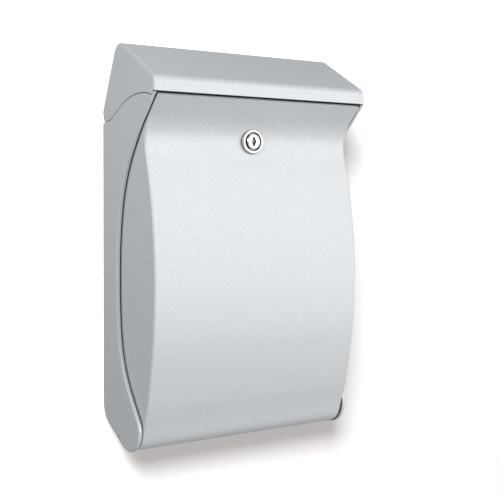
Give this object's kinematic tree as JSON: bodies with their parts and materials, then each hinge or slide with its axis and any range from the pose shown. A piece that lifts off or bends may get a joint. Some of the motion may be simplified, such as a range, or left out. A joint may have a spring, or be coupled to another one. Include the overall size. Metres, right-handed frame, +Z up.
{
  "type": "wall mounted mailbox",
  "caption": "Wall mounted steel mailbox with a slanted top letter lid and a wave-shaped front door with a cam lock.",
  "frame": {"origin": "middle of the back panel's face on the wall, 190 mm above the lowest point", "axes": "+X to the right seen from the front, +Y into the wall (the box stands out towards -Y), +Z up"},
  "size_m": [0.26, 0.1125, 0.4094],
  "materials": {
    "powder_coat": "satin silver powder coat, fine grain",
    "lock_chrome": "polished, fine turning marks",
    "zinc_steel": "zinc plated, dull",
    "nylon": "natural white nylon"
  },
  "bodies": {
    "casing": {"casing_back_and_floor": "powder_coat", "casing_left_cheek": "powder_coat", "casing_right_cheek": "powder_coat", "left_inner_side_plate": "powder_coat", "right_inner_side_plate": "powder_coat", "top_cross_rail": "powder_coat", "left_rail_screw": "zinc_steel", "right_rail_screw": "zinc_steel", "left_lid_hinge_bush": "nylon", "right_lid_hinge_bush": "nylon", "left_door_hinge_pin": "zinc_steel", "right_door_hinge_pin": "zinc_steel", "left_door_pin_clip": "zinc_steel", "right_door_pin_clip": "zinc_steel"},
    "lid": {"lid_top_panel": "powder_coat", "lid_left_end": "powder_coat", "lid_right_end": "powder_coat", "left_lid_hinge_pin": "zinc_steel", "right_lid_hinge_pin": "zinc_steel", "left_lid_pin_clip": "zinc_steel", "right_lid_pin_clip": "zinc_steel"},
    "door": {"door_front_panel": "powder_coat", "door_left_cheek": "powder_coat", "door_right_cheek": "powder_coat", "left_door_hinge_bush": "nylon", "right_door_hinge_bush": "nylon", "left_door_stop_pin": "zinc_steel", "right_door_stop_pin": "zinc_steel", "lock_collar": "lock_chrome", "lock_housing": "lock_chrome", "lock_nut": "zinc_steel"},
    "lock_cylinder": {"lock_plug": "lock_chrome", "lock_cam": "zinc_steel", "lock_cam_screw": "zinc_steel"}
  },
  "joints": [
    {"name": "lid_hinge", "type": "hinge", "parent": "casing", "child": "lid", "pos_m": [0, -0.01, 0.152], "axis": [-1, 0, 0], "range_deg": [0, 23]},
    {"name": "door_hinge", "type": "hinge", "parent": "casing", "child": "door", "pos_m": [0, -0.05602, -0.166], "axis": [1, 0, 0], "range_deg": [0, 65]},
    {"name": "lock_turn", "type": "hinge", "parent": "door", "child": "lock_cylinder", "pos_m": [0, -0.085, 0.122], "axis": [0, 1, 0], "range_deg": [0, 90]}
  ]
}
